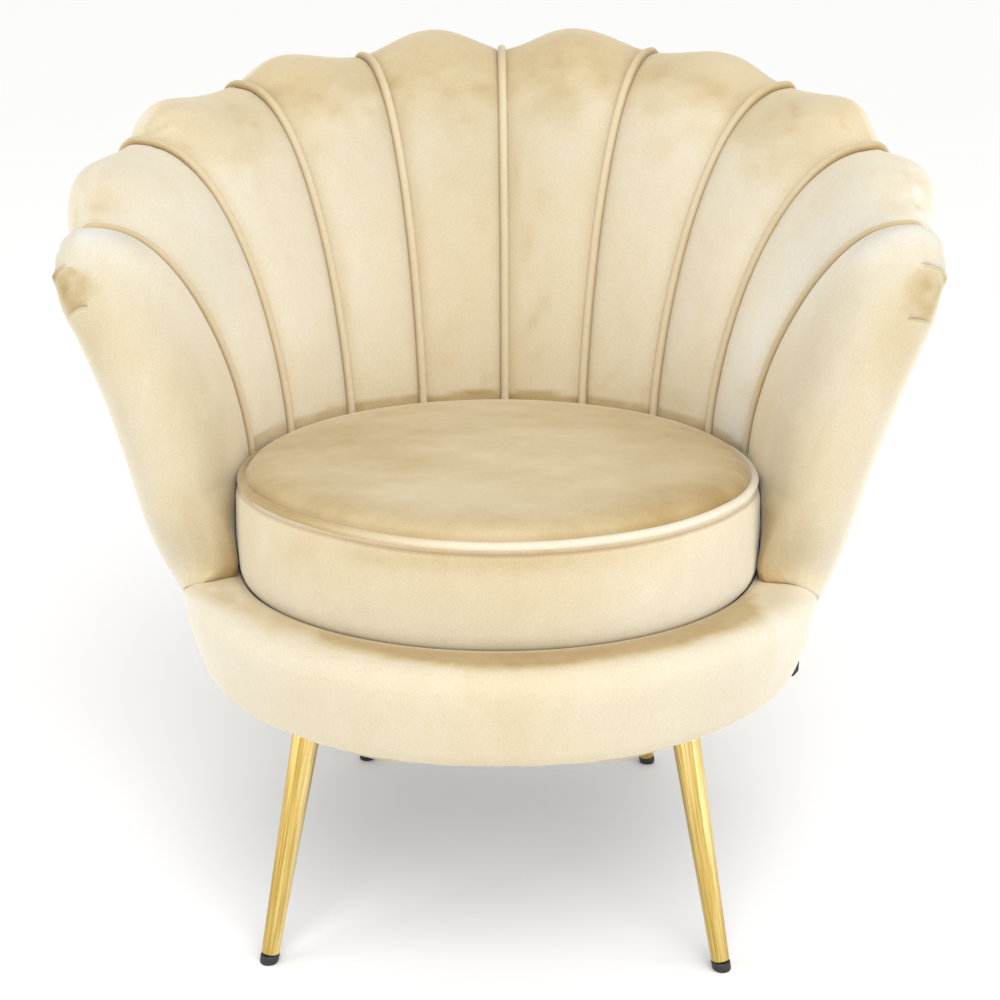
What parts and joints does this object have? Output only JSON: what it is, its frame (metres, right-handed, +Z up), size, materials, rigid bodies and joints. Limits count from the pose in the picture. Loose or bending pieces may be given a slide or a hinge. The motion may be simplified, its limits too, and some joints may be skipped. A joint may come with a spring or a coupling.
{
  "type": "armchair",
  "caption": "Upholstered tub armchair with a scalloped channel back, round drum base, loose round seat cushion and splayed tapered metal legs.",
  "frame": {"origin": "centre of the bounding box in plan, on the floor under the foot caps", "axes": "+Z up, the front of the seat faces -Y, +X to the right seen from the front"},
  "size_m": [0.808, 0.745, 0.7777],
  "materials": {
    "velvet": "short-pile velvet, cream champagne, soft sheen with brushed nap marks",
    "velvet_piping": "velvet-covered cord",
    "gold_metal": "polished gold-coloured plating",
    "black_plastic": "matte moulded",
    "black_fabric": "non-woven dust cloth",
    "steel": "zinc plated",
    "plywood": "raw plywood",
    "foam": "polyurethane foam",
    "webbing": "woven elastic webbing"
  },
  "bodies": {
    "chair": {"channel_01": "velvet", "channel_02": "velvet", "channel_03": "velvet", "channel_04": "velvet", "channel_05": "velvet", "channel_06": "velvet", "channel_07": "velvet", "channel_08": "velvet", "channel_09": "velvet", "channel_10": "velvet", "seam_piping_1": "velvet_piping", "seam_piping_2": "velvet_piping", "seam_piping_3": "velvet_piping", "seam_piping_4": "velvet_piping", "seam_piping_5": "velvet_piping", "seam_piping_6": "velvet_piping", "seam_piping_7": "velvet_piping", "seam_piping_8": "velvet_piping", "seam_piping_9": "velvet_piping", "arm_post_left": "plywood", "arm_post_right": "plywood", "outer_back": "velvet", "inner_board": "plywood", "lower_rail": "plywood", "top_rail": "plywood", "rib_left": "plywood", "rib_right": "plywood", "rear_trim": "black_fabric", "drum_cover": "velvet", "border_pad": "foam", "base_hoop": "plywood", "deck_pad": "foam", "base_panel": "plywood", "dust_cover": "black_fabric", "strap_cross_1": "webbing", "strap_cross_2": "webbing", "strap_long_1": "webbing", "strap_long_2": "webbing", "leg_tube_fl": "gold_metal", "foot_cap_fl": "black_plastic", "leg_stud_fl": "steel", "leg_block_fl": "plywood", "leg_tube_fr": "gold_metal", "foot_cap_fr": "black_plastic", "leg_stud_fr": "steel", "leg_block_fr": "plywood", "leg_tube_rl": "gold_metal", "foot_cap_rl": "black_plastic", "leg_stud_rl": "steel", "leg_block_rl": "plywood", "leg_tube_rr": "gold_metal", "foot_cap_rr": "black_plastic", "leg_stud_rr": "steel", "leg_block_rr": "plywood"},
    "cushion": {"cushion_top": "velvet", "cushion_band": "velvet", "cushion_bottom": "velvet", "cushion_core": "foam", "cushion_piping": "velvet_piping"}
  },
  "joints": [
    {"name": "cushion_lift", "type": "slide", "parent": "chair", "child": "cushion", "axis": [0, 0, 1], "range_m": [0, 0.47]}
  ]
}
